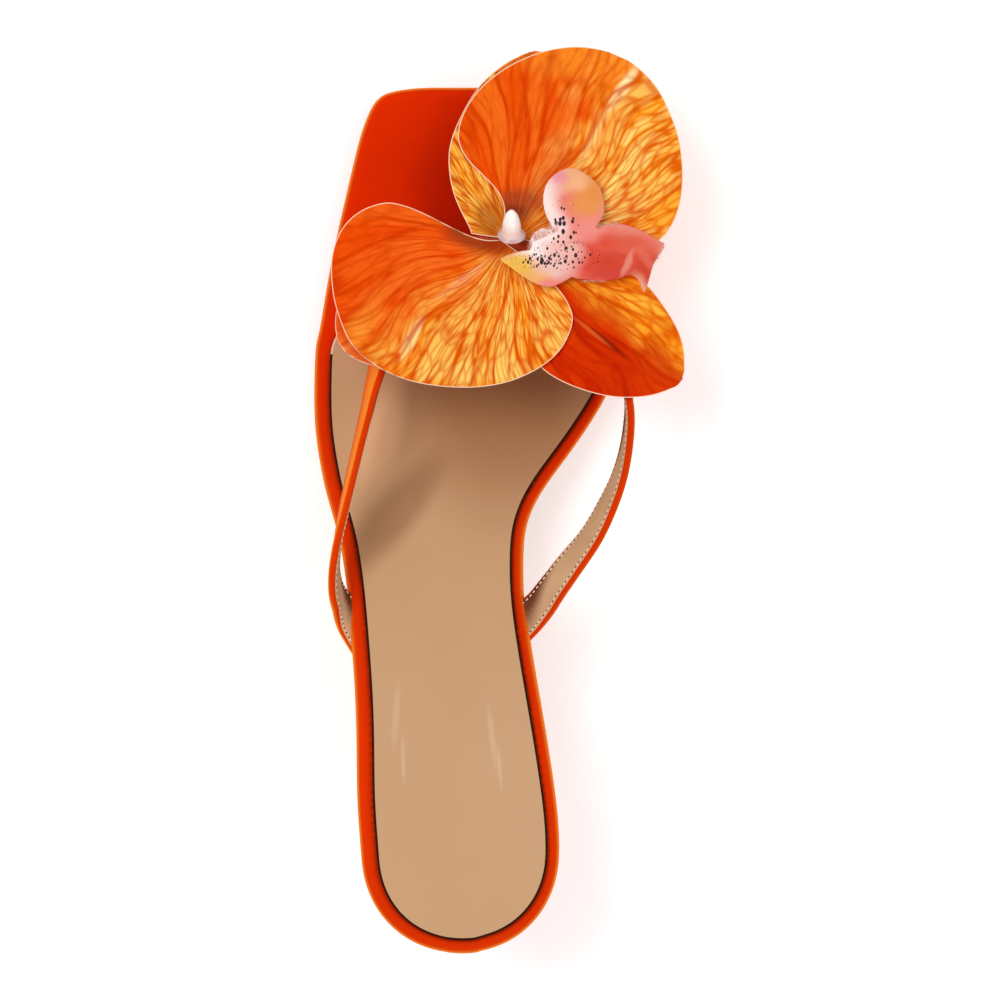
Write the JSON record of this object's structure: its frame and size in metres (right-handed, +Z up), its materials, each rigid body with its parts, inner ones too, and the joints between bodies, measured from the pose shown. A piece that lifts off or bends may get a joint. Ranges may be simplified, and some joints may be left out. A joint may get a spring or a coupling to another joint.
{
  "type": "toe-post mule sandal",
  "caption": "Square-toed toe-post mule sandal on a slim heel, with narrow satin straps and a large fabric orchid over the toes. Left shoe.",
  "frame": {"origin": "on the floor under the middle of the whole shoe", "axes": "+Y from heel to toe, +X to the medial side of this left shoe, +Z up from the floor"},
  "size_m": [0.1016, 0.2452, 0.0566],
  "materials": {
    "satin": "orange-red dress satin, soft sheen",
    "sock_leather": "smooth tan lining leather, low sheen",
    "sole_sheet": "tan moulded sole sheet, matt",
    "top_rubber": "dark hard rubber, matt",
    "petal_orange": "printed fabric petal, golden with orange veins, matt",
    "petal_shade": "printed fabric sepal, red-orange, matt",
    "lip_pink": "painted fabric, salmon pink with dark spots, matt",
    "column_cream": "moulded cream flower centre, satin"
  },
  "bodies": {
    "root": {"footbed": "satin", "sock_lining": "sock_leather", "outsole": "sole_sheet", "heel": "satin", "top_piece": "top_rubber", "upper": "satin", "toe_post": "satin", "flower_base": "petal_shade", "sepal_front": "petal_orange", "sepal_lateral": "petal_shade", "sepal_medial": "petal_shade", "petal_front": "petal_orange", "petal_lateral": "petal_orange", "lip": "lip_pink", "column": "column_cream"}
  },
  "joints": []
}
